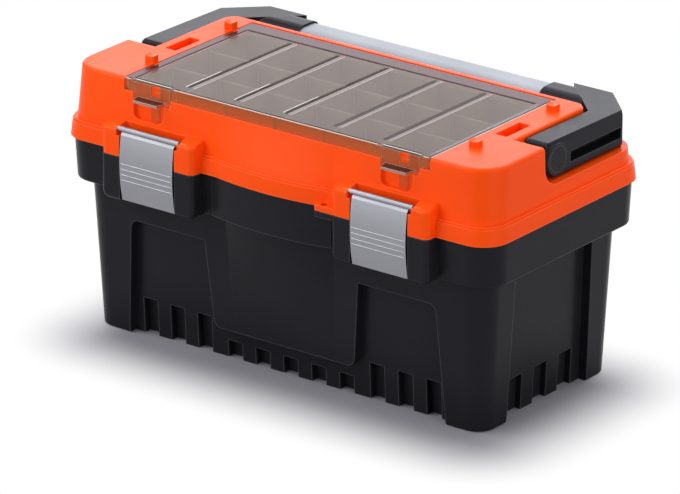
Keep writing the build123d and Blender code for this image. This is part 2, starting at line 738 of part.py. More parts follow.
def pad_pocket():
    """Space in the right pad for the plate, the bead and the pin."""
    space = block(LATCH_X - CHANNEL_HALF, LATCH_X + CHANNEL_HALF,
                  PAD_FRONT - CUT, POCKET_BACK, BAND_Z - CUT, TOP_Z)
    bay_foot = BEAD_Z - BEAD_R - 2 * LATCH_SIDE_GAP
    space += block(LATCH_X - BEAD_BAY_HALF, LATCH_X + BEAD_BAY_HALF,
                   PAD_FRONT - CUT, BEAD_BAY_BACK, bay_foot, TOP_Z)
    pin_half = LATCH_PIN_L / 2
    hole = LATCH_PIN_R + HOLD_FIT
    return space + rod_x(LATCH_X - pin_half, LATCH_X + pin_half, BEAD_Y, BEAD_Z, hole)


def handle_bay():
    """Space behind and beside the top block for the folded handle."""
    far = ARM_REAR + PAST
    high = TOP_Z + PAST
    front = ARM_BAY_FRONT
    side = outline([(front, RECESS_FLOOR), (far, RECESS_FLOOR), (far, high), (front, high)])
    side = fillet(side.vertices().group_by(Axis.Y)[0].sort_by(Axis.X)[0], ARM_BAY_R)
    bay = extrude(Plane.YZ.offset(-BAND_L) * side, 2 * BAND_L)
    keep = Pos(0, BLOCK_REAR - BAND_D, 0) * Rectangle(2 * BLOCK_HALF, 2 * BAND_D)
    keep = extrude(fillet(keep.vertices().group_by(Axis.Y)[-1], BLOCK_R), TOP_Z)
    return bay - fillet(keep.faces().sort_by(Axis.Z)[-1].edges(), BLOCK_EDGE_R)


def finger_pocket(x):
    """Cutter for the scoop below one clip."""
    height = COVER_WALL_FOOT - FINGER_FOOT
    scoop = Rectangle(FINGER_LEFT + FINGER_RIGHT, height)
    scoop = fillet(scoop.vertices().group_by(Axis.Y)[0], FINGER_R)
    scoop = Pos(x + (FINGER_RIGHT - FINGER_LEFT) / 2, FINGER_FOOT + height / 2) * scoop
    high = COVER_WALL_FOOT - CLIP_REST_FOOT
    rest = Rectangle(2 * CLIP_REST_HALF, high)
    rest = fillet(rest.vertices().group_by(Axis.Y)[0], CLIP_REST_R)
    rest = Pos(x, CLIP_REST_FOOT + high / 2) * rest
    return extrude(Plane.XZ.offset(-FINGER_BACK) * (scoop + rest), -PAD_FRONT + FINGER_BACK)


def tab(x, y, height):
    """Stub on the lid's top with a dished crown."""
    shape = block(x - TAB_W / 2, x + TAB_W / 2, y - TAB_D / 2, y + TAB_D / 2, TOP_Z - CUT, TOP_Z + height)
    shape = fillet(shape.edges().filter_by(Axis.Z), TAB_R)
    crown = TOP_Z + height - TAB_DISH + TAB_DISH_R
    return shape - Pos(x, y, crown) * Rot(90, 0, 0) * Cylinder(TAB_DISH_R, 2 * TAB_D)


def lid_hollow():
    """Inside of the lid, clear of the well, the pockets and the pivot bosses."""
    w = 2 * LID_WALL
    d = w + 2 * BAND_DRAFT
    under = tapered(rounded(BAND_L - w, BAND_D - w, BAND_R - LID_WALL, BAND_Z - CUT),
                    rounded(BAND_L - d, BAND_D - d, BAND_R - LID_WALL, BAND_TOP - LID_WALL))
    tier = tapered(rounded(TIER_L - w, TIER_D - w, TIER_R - LID_WALL, BAND_TOP - LID_WALL - SINK),
                   rounded(TOP_L - w, TOP_D - w, TOP_R - LID_WALL, TOP_Z - LID_WALL))
    inner = WELL_HALF + LID_WALL
    wall = BLOCK_HALF - LID_WALL
    low = block(-BAND_L, BAND_L, -BAND_D, BAND_D, 0, CAVITY_TOP)
    sides = block(inner, wall, -BAND_D, BLOCK_REAR - LID_WALL - BLOCK_R, CAVITY_TOP - CUT, TOP_Z)
    sides += block(inner, BAND_L, -BAND_D, ARM_BAY_FRONT - LID_WALL, CAVITY_TOP - CUT, TOP_Z)
    sides -= block(WELL_HALF, COVER_HALF + COVER_GAP + LID_WALL, -BAND_D, BAND_D,
                   COVER_SEAT - LID_WALL, TOP_Z)
    belt = BELT_W / 2 + LID_WALL
    belt_half = BELT_L / 2 + LID_WALL
    sides -= block(BELT_X - belt, BELT_X + belt, BELT_Y - belt_half, BELT_Y + belt_half,
                   TOP_Z - BELT_DEPTH - LID_WALL, TOP_Z)
    sides -= rod_x(BLOCK_HALF - PIVOT_BOSS_L, BLOCK_HALF, PIVOT_Y, PIVOT_Z, PIVOT_BOSS_R)
    rear = block(-WELL_HALF, WELL_HALF, WELL_REAR + LID_WALL, BLOCK_REAR - LID_WALL,
                 CAVITY_TOP - CUT, TROUGH_FLOOR - LID_WALL)
    return under + (tier & (low + both_sides(sides) + rear))


def lid():
    """Lid shell with pads, handle bays, organiser well and cover seat."""
    lip_z = BAND_TOP - BAND_LIP_H
    edge_l = BAND_L - 2 * BAND_DRAFT
    edge_d = BAND_D - 2 * BAND_DRAFT
    band = tapered(rounded(BAND_L, BAND_D, BAND_R, BAND_Z), rounded(edge_l, edge_d, BAND_R, lip_z))
    w = 2 * BAND_LIP_IN
    band += extrude(rounded(edge_l - w, edge_d - w, BAND_R - BAND_LIP_IN, lip_z), BAND_LIP_H)
    tier = tapered(rounded(TIER_L, TIER_D, TIER_R, BAND_TOP - LID_WALL),
                   rounded(TOP_L, TOP_D, TOP_R, TOP_Z))
    tier = fillet(tier.faces().sort_by(Axis.Z)[-1].edges(), TOP_FILLET)
    tier -= handle_bay()
    shell = band + tier + tier_bow() + both_sides(pad())
    shell += bow(-edge_d / 2, BAND_Z, lip_z)
    shell += bow(-edge_d / 2 + BAND_LIP_IN, lip_z, BAND_TOP)
    shell += ear(BAND_Z, BAND_Z + EAR_T)
    shell -= lid_hollow()
    shell -= both_sides(pad_pocket())
    shell -= block(-WELL_HALF, WELL_HALF, WELL_FRONT, WELL_REAR, WELL_FLOOR, TOP_Z + CUT)
    shell -= block(-WELL_HALF, WELL_HALF, WELL_REAR - CUT, TROUGH_FRONT + CUT, DECK_Z, TOP_Z + CUT)
    seat = COVER_HALF + COVER_GAP
    shell -= block(-seat, seat, PAD_FRONT, COVER_REAR, COVER_SEAT, TOP_Z + CUT)
    shell -= block(-seat, seat, TROUGH_FRONT, TROUGH_REAR, TROUGH_FLOOR, TOP_Z + CUT)
    shell -= block(-seat, seat, PAD_FRONT - PAST, RABBET_WALL,
                   COVER_WALL_FOOT - COVER_GAP, TOP_Z + CUT)
    for x in rib_places():
        shell += block(x - LUG_W / 2, x + LUG_W / 2, LUG_Y - LUG_D / 2, LUG_Y + LUG_D / 2,
                       DECK_Z - CUT, TRAY_TOP + LUG_STAND)
    for x, y, height in LEFT_TABS + RIGHT_TABS:
        shell += tab(x, y, height)
    for x, y, height in LEFT_TABS:
        shell += block(-seat - CUT, -seat + TAB_TOE, y - TAB_D / 2, y + TAB_D / 2,
                       COVER_SEAT - CUT, COVER_SEAT + TAB_TOE_H)
    for side in (-1, 1):
        clip = side * CLIP_X
        shell -= finger_pocket(clip)
        lug = clip + CLIP_WINDOW_X
        shell += block(lug - CATCH_LUG_W / 2, lug + CATCH_LUG_W / 2,
                       RABBET_WALL - CATCH_LUG_T, RABBET_WALL + CUT,
                       CLIP_WINDOW_FOOT - CATCH_LUG_DROP, CLIP_WINDOW_FOOT + CATCH_LUG_H)
        pin = side * (COVER_HALF + COVER_GAP)
        tip = side * (COVER_HALF + COVER_PIN_L + COVER_PIN_END)
        shell -= rod_x(min(pin, tip) - CUT, max(pin, tip), COVER_AXIS_Y, COVER_AXIS_Z,
                       COVER_PIN_R + RUN_FIT)
        belt = side * BELT_X
        shell -= block(belt - BELT_W / 2, belt + BELT_W / 2, BELT_Y - BELT_L / 2, BELT_Y + BELT_L / 2,
                       TOP_Z - BELT_DEPTH, TOP_Z + CUT)
        inner = side * (PIVOT_PIN_IN - PIN_END)
        outer = side * (BLOCK_HALF + CUT)
        shell -= rod_x(min(inner, outer), max(inner, outer), PIVOT_Y, PIVOT_Z, PIVOT_PIN_R + RUN_FIT)
        shell += hinge_pieces(side)[1]
    return shell - eye_hole()


def rib_places():
    """X positions of the long tray walls, which the cover ribs follow."""
    return [(i - CELL_COLUMNS / 2) * CELL_PITCH_X for i in range(1, CELL_COLUMNS)]


def row_places():
    """Y positions of the cross dividers."""
    start = TRAY_FRONT + TRAY_WALL / 2
    return [start + i * ROW_PITCH for i in range(1, CELL_ROWS)]


def column_bounds(i):
    """Clear width of one column of cells."""
    walls = [-TRAY_HALF + TRAY_WALL / 2] + rib_places() + [TRAY_HALF - TRAY_WALL / 2]
    return walls[i] + TRAY_WALL / 2, walls[i + 1] - TRAY_WALL / 2


def tray():
    """Organiser tray with long walls, guides for the cross dividers and a rear flange."""
    shape = block(-TRAY_HALF, TRAY_HALF, TRAY_FRONT, TRAY_REAR, TRAY_FLOOR_Z, TRAY_TOP)
    low = TRAY_FLOOR_Z + TRAY_WALL
    slot = DIVIDER_T / 2 + GUIDE_GAP
    for i in range(CELL_COLUMNS):
        x0, x1 = column_bounds(i)
        shape -= block(x0, x1, TRAY_FRONT + TRAY_WALL, TRAY_REAR - TRAY_WALL, low, TRAY_TOP + CUT)
        for y in row_places():
            for y0 in (y - slot - GUIDE_T, y + slot):
                shape += block(x0 - SINK, x0 + GUIDE_T, y0, y0 + GUIDE_T, low - SINK, low + DIVIDER_H)
                shape += block(x1 - GUIDE_T, x1 + SINK, y0, y0 + GUIDE_T, low - SINK, low + DIVIDER_H)
    flange = block(-TRAY_HALF, TRAY_HALF, TRAY_REAR - SINK, TRAY_FLANGE_REAR,
                   TRAY_TOP - TRAY_FLANGE_T, TRAY_TOP)
    for x in rib_places():
        half = LUG_W / 2 + SLIP_FIT
        depth = LUG_D / 2 + SLIP_FIT
        flange -= block(x - half, x + half, LUG_Y - depth, LUG_Y + depth, DECK_Z, TRAY_TOP + CUT)
    return shape + flange


def dividers():
    """Cross dividers of the tray, one shape per cell boundary, by name."""
    pieces = {}
    low = TRAY_FLOOR_Z + TRAY_WALL + GUIDE_GAP
    for i in range(CELL_COLUMNS):
        x0, x1 = column_bounds(i)
        for j, y in enumerate(row_places()):
            plate = block(x0 + GUIDE_GAP, x1 - GUIDE_GAP, y - DIVIDER_T / 2, y + DIVIDER_T / 2,
                          low, low + DIVIDER_H)
            pieces[f"divider_{i + 1}_{j + 1}"] = plate
    return pieces


def cover():
    """Clear cover with front wall, ribs, clip bays and hinge stubs."""
    shape = block(-COVER_HALF, COVER_HALF, COVER_FRONT, COVER_REAR, COVER_UNDER, COVER_TOP)
    shape = fillet(shape.edges().filter_by(Axis.Z), COVER_R)
    half = COVER_HALF - COVER_R
    shape += block(-half, half, COVER_FRONT, COVER_WALL_BACK, COVER_WALL_FOOT, COVER_UNDER + COVER_T / 2)
    for x in rib_places():
        shape += block(x - RIB_W / 2, x + RIB_W / 2, RIB_FRONT, RIB_REAR,
                       COVER_UNDER - RIB_DROP, COVER_UNDER + COVER_T / 2)
        groove = SlotOverall(RIB_REAR - RIB_FRONT, RIB_GROOVE_W, rotation=90)
        groove = Pos(x, (RIB_FRONT + RIB_REAR) / 2) * groove
        shape -= extrude(Pos(0, 0, COVER_TOP - RIB_GROOVE) * groove, RIB_GROOVE + CUT)
    for x, y, height in LEFT_TABS:
        notch = TAB_D / 2 + COVER_GAP
        shape -= block(-COVER_HALF - CUT, -COVER_HALF + TAB_TOE, y - notch, y + notch,
                       COVER_UNDER - CUT, COVER_TOP + CUT)
    for side in (-1, 1):
        clip = side * CLIP_X
        cheek = CLIP_BAY_HALF + CLIP_CHEEK_W
        face = COVER_FRONT - CLIP_CHEEK_PROUD
        shape += block(clip - cheek, clip + cheek, face, face + CLIP_CHEEK_T, CLIP_CHEEK_FOOT, COVER_TOP)
        shape -= block(clip - CLIP_BAY_HALF, clip + CLIP_BAY_HALF, COVER_FRONT - PAST,
                       CLIP_AXIS_Y + CLIP_BARREL_R + CLIP_SIDE_GAP, COVER_WALL_FOOT - CUT, TOP_Z + CUT)
        bore = CLIP_W / 2 + CLIP_PIN_L + CLIP_PIN_END
        shape -= rod_x(clip - bore, clip + bore, CLIP_AXIS_Y, CLIP_AXIS_Z, CLIP_PIN_R + RUN_FIT)
        edge = side * COVER_HALF
        root = side * (COVER_HALF - COVER_EAR_T)
        tip = side * (COVER_HALF + COVER_PIN_L)
        x0, x1 = min(edge, root), max(edge, root)
        shape += rod_x(x0, x1, COVER_AXIS_Y, COVER_AXIS_Z, COVER_EAR_R)
        shape += rod_x(min(root, tip), max(root, tip), COVER_AXIS_Y, COVER_AXIS_Z, COVER_PIN_R)
    return shape


def clip(x):
    """Clear clip that closes the cover: barrel, plate with window, pull ledge and tongue."""
    half = CLIP_W / 2
    front = CLIP_AXIS_Y - CLIP_T / 2 - CLIP_PROUD
    back = front + CLIP_T
    shape = block(-half, half, front, back, CLIP_LEDGE_Z, CLIP_AXIS_Z)
    shape += rod_x(-half, half, CLIP_AXIS_Y, CLIP_AXIS_Z, CLIP_BARREL_R)
    ledge = plan_prism([
        (-CLIP_LEDGE_HALF, back), (CLIP_LEDGE_HALF, back), (CLIP_LEDGE_HALF, front),
        (CLIP_LEDGE_TIP_HALF, CLIP_LEDGE_TIP), (-CLIP_LEDGE_TIP_HALF, CLIP_LEDGE_TIP),
        (-CLIP_LEDGE_HALF, front),
    ], CLIP_LEDGE_Z, CLIP_LEDGE_Z + CLIP_LEDGE_T)
    shape += ledge
    w = CLIP_WINDOW_W / 2
    shape -= block(CLIP_WINDOW_X - w, CLIP_WINDOW_X + w, front - PAST, back + PAST, CLIP_WINDOW_FOOT, TOP_Z)
    t = CLIP_TONGUE_W / 2
    shape += block(CLIP_WINDOW_X - t, CLIP_WINDOW_X + t, front, back, CLIP_TONGUE_FOOT, CLIP_LEDGE_Z + CUT)
    shape += rod_x(-half - CLIP_PIN_L, -half + CUT, CLIP_AXIS_Y, CLIP_AXIS_Z, CLIP_PIN_R)
    shape += rod_x(half - CUT, half + CLIP_PIN_L, CLIP_AXIS_Y, CLIP_AXIS_Z, CLIP_PIN_R)
    return Pos(x, 0, 0) * shape


def circle_through(a, b, c):
    """Centre and radius of the circle through three (y, z) points."""
    d = 2 * (a[0] * (b[1] - c[1]) + b[0] * (c[1] - a[1]) + c[0] * (a[1] - b[1]))
    sa, sb, sc = (p[0] ** 2 + p[1] ** 2 for p in (a, b, c))
    y = (sa * (b[1] - c[1]) + sb * (c[1] - a[1]) + sc * (a[1] - b[1])) / d
    z = (sa * (c[0] - b[0]) + sb * (a[0] - c[0]) + sc * (b[0] - a[0])) / d
    return y, z, math.dist((y, z), a)


def latch_face(z):
    """Y of the latch plate's curved front face at height z."""
    y, mid, radius = circle_through(LATCH_SHOULDER, LATCH_BULGE, LATCH_FOOT)
    return y - math.sqrt(radius ** 2 - (z - mid) ** 2)


def latch_plate():
    """Right latch: rolled bead, curved plate with grip ridges and the hook on its back."""
    x0, x1 = LATCH_X - LATCH_W / 2, LATCH_X + LATCH_W / 2
    shift = [(p[0] + LATCH_T, p[1]) for p in (LATCH_SHOULDER, LATCH_BULGE, LATCH_FOOT)]
    front = ThreePointArc(LATCH_SHOULDER, LATCH_BULGE, LATCH_FOOT)
    back = ThreePointArc(shift[2], shift[1], shift[0])
    neck = BEAD_Z - BEAD_R + NECK_SINK
    rest = Line(LATCH_FOOT, shift[2])
    throat = Polyline(shift[0], (BEAD_Y + NECK_BACK, neck), (BEAD_Y - NECK_FRONT, neck), LATCH_SHOULDER)
    face = make_face(front + rest + back + throat)
    shape = extrude(Plane.YZ.offset(x0) * face, x1 - x0)
    for i in range(RIDGE_COUNT):
        z = RIDGE_Z - i * RIDGE_PITCH
        shape += rod_x(x0 + RIDGE_END, x1 - RIDGE_END, latch_face(z) + RIDGE_SINK, z, RIDGE_R)
    hook_back = CHANNEL_BACK - CATCH_REACH - CATCH_GAP
    shape += block(LATCH_X - HOOK_W / 2, LATCH_X + HOOK_W / 2, latch_face(HOOK_Z) + LATCH_T / 2,
                   hook_back, HOOK_Z, HOOK_Z + HOOK_H)
    shape += rod_x(LATCH_X - BEAD_L / 2, LATCH_X + BEAD_L / 2, BEAD_Y, BEAD_Z, BEAD_R)
    return shape - rod_x(LATCH_X - BEAD_L, LATCH_X + BEAD_L, BEAD_Y, BEAD_Z, LATCH_PIN_R + RUN_FIT)


def latch_pin():
    """Steel pin of the right latch, held in the cheeks of the pad."""
    half = LATCH_PIN_L / 2 - PIN_END
    return rod_x(LATCH_X - half, LATCH_X + half, BEAD_Y, BEAD_Z, LATCH_PIN_R)


def grip_profile(width, height):
    """Rounded grip section in the Y-Z plane."""
    return Pos(GRIP_Y, GRIP_Z) * SlotOverall(width, height)


def along_x(profile, x0, x1):
    """Profile in the Y-Z plane swept between two x positions."""
    return extrude(Plane.YZ.offset(x0) * profile, x1 - x0)


def arm_nose():
    """Corner over the front of the arm's round end, from the top line to a tangent of the round."""
    high = PIVOT_Z + ARM_R
    corner = math.hypot(ARM_NOSE, ARM_R)
    turn = math.atan2(ARM_R, -ARM_NOSE) + math.acos(ARM_R / corner)
    touch = (PIVOT_Y + ARM_R * math.cos(turn), PIVOT_Z + ARM_R * math.sin(turn))
    nose = outline([(PIVOT_Y, PIVOT_Z), (PIVOT_Y, high), (PIVOT_Y - ARM_NOSE, high), touch])
    return fillet(nose.vertices().group_by(Axis.Y)[-1].sort_by(Axis.X)[0], ARM_NOSE_R)


def arm():
    """Right handle arm with its mitred rear branch, side slot and cap seat."""
    plan = plan_prism([
        (ARM_IN, PIVOT_Y - ARM_R - CUT), (ARM_OUT, PIVOT_Y - ARM_R - CUT),
        (ARM_OUT, ARM_REAR - ARM_CHAMFER), (ARM_OUT - ARM_CHAMFER, ARM_REAR),
        (SEAM_SUM - ARM_REAR, ARM_REAR), (ARM_IN, SEAM_SUM - ARM_IN),
    ], ARM_FLOOR, PIVOT_Z + ARM_R)
    high = PIVOT_Z + ARM_R
    side = side_prism([
        (PIVOT_Y, ARM_FLOOR), (ARM_REAR + CUT, ARM_FLOOR),
        (ARM_REAR + CUT, ARM_TOP_REAR), (PIVOT_Y, high),
    ], 0, BAND_L)
    side += rod_x(0, BAND_L, PIVOT_Y, PIVOT_Z, ARM_R)
    side += along_x(arm_nose(), 0, BAND_L)
    shape = plan & side
    outer = shape.faces().sort_by(Axis.X)[-1].edges().sort_by(Axis.Y)
    shape = chamfer(outer[:-1], ARM_BEVEL)
    slot_in = ARM_OUT - ARM_SLOT_DEPTH
    shape -= block(slot_in, ARM_OUT + CUT, ARM_SLOT_FRONT, ARM_SLOT_REAR, ARM_SLOT_LOW, ARM_SLOT_HIGH)
    pocket_out = SLEEVE_ROOT_OUT + SLIP_FIT
    shape -= block(SLEEVE_IN, pocket_out, GRIP_Y - SLEEVE_W / 2 - SLIP_FIT, ARM_REAR - ARM_SHELL,
                   0, ARM_PLATE_Z)
    shape -= rod_x(0, PIVOT_PIN_OUT, PIVOT_Y, PIVOT_Z, PIVOT_PIN_R + HOLD_FIT)
    shape -= rod_x(ARM_OUT - CAP_T - HOLD_FIT, ARM_OUT + CUT, PIVOT_Y, PIVOT_Z, CAP_R + CAP_FIT)
    ring = rod_x(ARM_OUT - CAP_RING_DEPTH, ARM_OUT + CUT, PIVOT_Y, PIVOT_Z, CAP_RING_R)
    ring -= rod_x(ARM_OUT - CAP_RING_DEPTH - CUT, ARM_OUT + 2 * CUT, PIVOT_Y, PIVOT_Z,
                  CAP_RING_R - CAP_RING_W)
    shape -= ring
    for x, y in SCREW_SPOTS:
        shape -= rod_z(x, y, ARM_PLATE_Z - CUT, ARM_PLATE_Z + SCREW_BITE + HOLD_FIT, SCREW_R + HOLD_FIT)
    return shape


def sleeve():
    """Right grip sleeve: the part before the mitre and the root under the arm's top plate."""
    full = along_x(grip_profile(SLEEVE_W, SLEEVE_H), SLEEVE_IN, SLEEVE_ROOT_OUT)
    reach = SEAM_SUM - SLIP_FIT
    before = plan_prism([(0, 0), (reach, 0), (0, reach)], 0, TOP_Z + PAST)
    root = block(0, BAND_L, 0, ARM_REAR - ARM_SHELL - SLIP_FIT, 0, ARM_PLATE_Z - SLIP_FIT)
    shape = full & (before + root)
    socket = grip_profile(BAR_W + 2 * HOLD_FIT, BAR_H + 2 * HOLD_FIT)
    shape -= along_x(socket, 0, SLEEVE_IN + BAR_INSERT + HOLD_FIT)
    for x, y in SCREW_SPOTS:
        shape -= rod_z(x, y, 0, TOP_Z, SCREW_R + SLIP_FIT / 2)
        shape -= rod_z(x, y, 0, SLEEVE_LOW + SCREW_HEAD_H + HOLD_FIT, SCREW_HEAD_R + SLIP_FIT / 2)
    return shape


def grip_bar():
    """Hollow aluminium grip bar between the sleeves."""
    half = SLEEVE_IN + BAR_INSERT
    outer = grip_profile(BAR_W, BAR_H)
    inner = grip_profile(BAR_W - 2 * BAR_WALL, BAR_H - 2 * BAR_WALL)
    return along_x(outer - inner, -half, half)


def pivot_pin():
    """Right handle pivot, fixed in the arm and turning in the lid."""
    return rod_x(PIVOT_PIN_IN, PIVOT_PIN_OUT - PIN_END, PIVOT_Y, PIVOT_Z, PIVOT_PIN_R)


def pivot_cap():
    """Right cap over the pivot, with two small dots low on its face."""
    cap = rod_x(ARM_OUT - CAP_T, ARM_OUT, PIVOT_Y, PIVOT_Z, CAP_R)
    cap = fillet(cap.edges().sort_by(Axis.X)[-1], CAP_EDGE_R)
    for dy in (-CAP_DOT_X, CAP_DOT_X):
        cap -= rod_x(ARM_OUT - CAP_T / 2, ARM_OUT + CUT, PIVOT_Y + dy,
                     PIVOT_Z - CAP_R + CAP_DOT_RISE, CAP_DOT_R)
    return cap


def sleeve_screws():
    """Screws that hold the sleeves under the arms, as separate solids."""
    screws = []
    for side in (-1, 1):
        for x, y in SCREW_SPOTS:
            head = rod_z(side * x, y, SLEEVE_LOW, SLEEVE_LOW + SCREW_HEAD_H, SCREW_HEAD_R)
            shank = rod_z(side * x, y, SLEEVE_LOW, ARM_PLATE_Z + SCREW_BITE, SCREW_R)
            screws.append(head + shank)
    return Compound(children=screws)


def nodes():
    """Every piece of the tool box by name."""
    pieces = {
        "base_tub": tub(),
        "lid_shell": lid(),
        "organiser_tray": tray(),
        "organiser_cover": cover(),
        "cover_clip_left": clip(-CLIP_X),
        "cover_clip_right": clip(CLIP_X),
        "handle_bar": grip_bar(),
        "sleeve_screws": sleeve_screws(),
    }
    right = {
        "latch_plate": latch_plate(),
        "latch_pin": latch_pin(),
        "handle_arm": arm(),
        "handle_sleeve": sleeve(),
        "pivot_pin": pivot_pin(),
        "pivot_cap": pivot_cap(),
    }
    for name, shape in right.items():
        pieces[name + "_right"] = shape
        pieces[name + "_left"] = mirrored(shape)
    pieces["hinge_pin_left"] = hinge_pieces(-1)[2]
    pieces["hinge_pin_right"] = hinge_pieces(1)[2]
    pieces.update(dividers())
    return pieces


os.makedirs("parts", exist_ok=True)
for name, shape in nodes().items():
    export_step(shape, f"parts/{name}.step")
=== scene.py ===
import math

import bpy
from mathutils import Matrix, Vector


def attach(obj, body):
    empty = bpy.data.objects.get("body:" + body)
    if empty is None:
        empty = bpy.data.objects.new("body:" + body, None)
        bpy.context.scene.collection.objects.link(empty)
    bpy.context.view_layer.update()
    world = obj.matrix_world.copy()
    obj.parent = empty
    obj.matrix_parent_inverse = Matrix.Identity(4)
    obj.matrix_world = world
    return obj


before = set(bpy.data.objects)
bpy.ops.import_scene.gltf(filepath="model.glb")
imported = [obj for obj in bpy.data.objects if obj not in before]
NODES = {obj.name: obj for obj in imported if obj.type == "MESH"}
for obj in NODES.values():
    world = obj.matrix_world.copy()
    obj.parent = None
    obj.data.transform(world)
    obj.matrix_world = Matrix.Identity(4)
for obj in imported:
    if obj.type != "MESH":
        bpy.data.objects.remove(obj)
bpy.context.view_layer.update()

# The organiser's cover in the shared frame, in metres.
COVER_TOP = 0.2880
COVER_HALF = 0.1945
COVER_FRONT = -0.1260
COVER_REAR = 0.0840
HINGE_GAP_REAR = 0.0862
CLIP_X = 0.1580
CLIP_BAY_HALF = 0.0236
BAY_REAR = -0.12335
CELL_PITCH = 0.0624
WEB_HALF = 0.0013
WEB_FRONT, WEB_REAR = -0.1250, -0.1230

# Parts of the cover's top that look denser.
BORDER_LEFT, BORDER_REAR, BORDER_BLUR = -0.1838, 0.0650, 0.0005
LIP_RIGHT, LIP_BLUR = 0.1865, 0.0010
STRIP_SET, STRIP_HALF, STRIPS_END = 0.0039, 0.0027, 0.15
SIDE_STRIPS = ((-0.1867, -0.1819), (0.1877, 0.1925))

# Parts of a clip that look different: the ledge's front lies below a Y, the tongue below a Z.
LEDGE_FRONT, LEDGE_BLUR = -0.1382, 0.0003
TONGUE_TOP, TONGUE_BLUR = 0.2678, 0.0008

# Thin lines of painted shade and painted highlight along the cover's ribs, border and edges.
RIB_COUNT = 5
LIT_RIBS = 3
RIB_FRONT, RIB_HALFWAY, RIB_REAR = -0.1105, -0.0520, 0.0600
RIB_SHIFT = 0.0026
SHADE_SET, SHADE_W = -0.0002, 0.0026
LIGHT_SET, LIGHT_W = -0.0044, 0.0014
SOFT_SET, SOFT_W = -0.0010, 0.0060
RAIL_SET, RAIL_W = 0.0068, 0.0008
LINE_SIDE = 0.0095
LINE_REAR = 0.0190
LINE_HEIGHT = 0.0003
END_STEPS = 4
ARCH_STEPS = 6
ARCH = ARCH_STEPS + 1
LEAST_SIZE = 0.05

# Noise of the plastic, in repeats per metre, and the reach of the painted edge highlights in millimetres.
CLOUD, SMEAR, GRAIN = 9.0, 30.0, 1500.0
ROUGH_SPREAD = 0.04
PLASTIC_HIGHLIGHT_REACH, METAL_HIGHLIGHT_REACH = 1.1, 0.7
CLEAR_EDGE = 0.7


def shader(name):
    """New material: itself, its node tree and its principled shader."""
    material = bpy.data.materials.new(name)
    material.use_nodes = True
    tree = material.node_tree
    tree.nodes.clear()
    output = tree.nodes.new("ShaderNodeOutputMaterial")
    surface = tree.nodes.new("ShaderNodeBsdfPrincipled")
    tree.links.new(surface.outputs[0], output.inputs["Surface"])
    return material, tree, surface


def add(tree, kind, **values):
    """Node of a kind with its properties and input values set."""
    node = tree.nodes.new("ShaderNode" + kind)
    for key, value in values.items():
        if key in node.inputs:
            node.inputs[key].default_value = value
        else:
            setattr(node, key, value)
    return node


def object_space(tree, scale=(1, 1, 1)):
    """Object coordinates in metres, stretched by a scale."""
    place = add(tree, "TexCoord")
    mapping = add(tree, "Mapping", Scale=scale)
    tree.links.new(place.outputs["Object"], mapping.inputs["Vector"])
    return mapping.outputs["Vector"]


def noise(tree, vector, scale, detail=3.0, rough=0.5):
    """Noise value over a vector."""
    node = add(tree, "TexNoise", Scale=scale, Detail=detail, Roughness=rough)
    tree.links.new(vector, node.inputs["Vector"])
    return node.outputs["Fac"]


def spread(tree, value, low, high, start=0.3, end=0.7, curve="LINEAR"):
    """A value from start to end mapped to the range from low to high."""
    node = add(tree, "MapRange", interpolation_type=curve)
    node.inputs["From Min"].default_value = start
    node.inputs["From Max"].default_value = end
    node.inputs["To Min"].default_value = low
    node.inputs["To Max"].default_value = high
    tree.links.new(value, node.inputs["Value"])
    return node.outputs["Result"]


def mix(tree, factor, a, b):
    """Colour between two colours; each is an output or a fixed colour."""
    node = add(tree, "Mix", data_type="RGBA")
    tree.links.new(factor, node.inputs["Factor"])
    colour_inputs = [s for s in node.inputs if s.type == "RGBA"]
    for socket, value in zip(colour_inputs, (a, b)):
        if isinstance(value, tuple):
            socket.default_value = (*value, 1)
        else:
            tree.links.new(value, socket)
    return next(s for s in node.outputs if s.type == "RGBA")


def maths(tree, operation, a, b=0.0):
    """Result of an operation on one or two values; each is an output or a decimal number."""
    node = add(tree, "Math", operation=operation)
    for socket, value in zip(node.inputs, (a, b)):
        if isinstance(value, float):
            socket.default_value = value
        else:
            tree.links.new(value, socket)
    return node.outputs[0]


def bump(tree, height, strength, distance, normal):
    """Bump from a height value, over another normal."""
    node = add(tree, "Bump", Strength=strength, Distance=distance)
    tree.links.new(height, node.inputs["Height"])
    tree.links.new(normal, node.inputs["Normal"])
    return node.outputs["Normal"]


def soft_edge(tree, radius):
    """Normal that rounds the edges by a radius in millimetres."""
    return add(tree, "Bevel", samples=6, Radius=radius / 1000).outputs["Normal"]


def edge_mask(tree, radius):
    """0 on open faces and 1 along edges, within a radius in millimetres."""
    face = add(tree, "NewGeometry")
    dot = add(tree, "VectorMath", operation="DOT_PRODUCT")
    tree.links.new(soft_edge(tree, radius), dot.inputs[0])
    tree.links.new(face.outputs["Normal"], dot.inputs[1])
    return spread(tree, dot.outputs["Value"], 1, 0, start=0.72, end=0.97)


def edge_highlight_mask(tree, reach):
    """1 along outer edges and 0 elsewhere, within a reach in millimetres: the mask of a painted edge highlight.
    """
    node = add(tree, "AmbientOcclusion", samples=8, inside=True, only_local=True, Distance=reach / 1000)
    return spread(tree, node.outputs["AO"], 1, 0, start=0.55, end=0.95)


def xyz(tree, vector):
    """The three values of a vector by axis letter."""
    node = add(tree, "SeparateXYZ")
    tree.links.new(vector, node.inputs[0])
    return node.outputs


def below(tree, value, limit, blur=0.0002):
    """1 where a value lies below a limit, else 0."""
    return spread(tree, value, 1, 0, limit, limit + blur)


def above(tree, value, limit, blur=0.0002):
    """1 where a value lies above a limit, else 0."""
    return spread(tree, value, 0, 1, limit, limit + blur)


def band(tree, value, low, high):
    """1 where a value lies between two bounds, else 0."""
    return maths(tree, "MULTIPLY", above(tree, value, low), below(tree, value, high))


def both(tree, a, b):
    """Mask where two masks meet."""
    return maths(tree, "MULTIPLY", a, b)


def shades(colour, share):
    """Darker and lighter version of a colour, by a share of it."""
    return tuple((1 - share) * c for c in colour), tuple((1 + share) * c for c in colour)


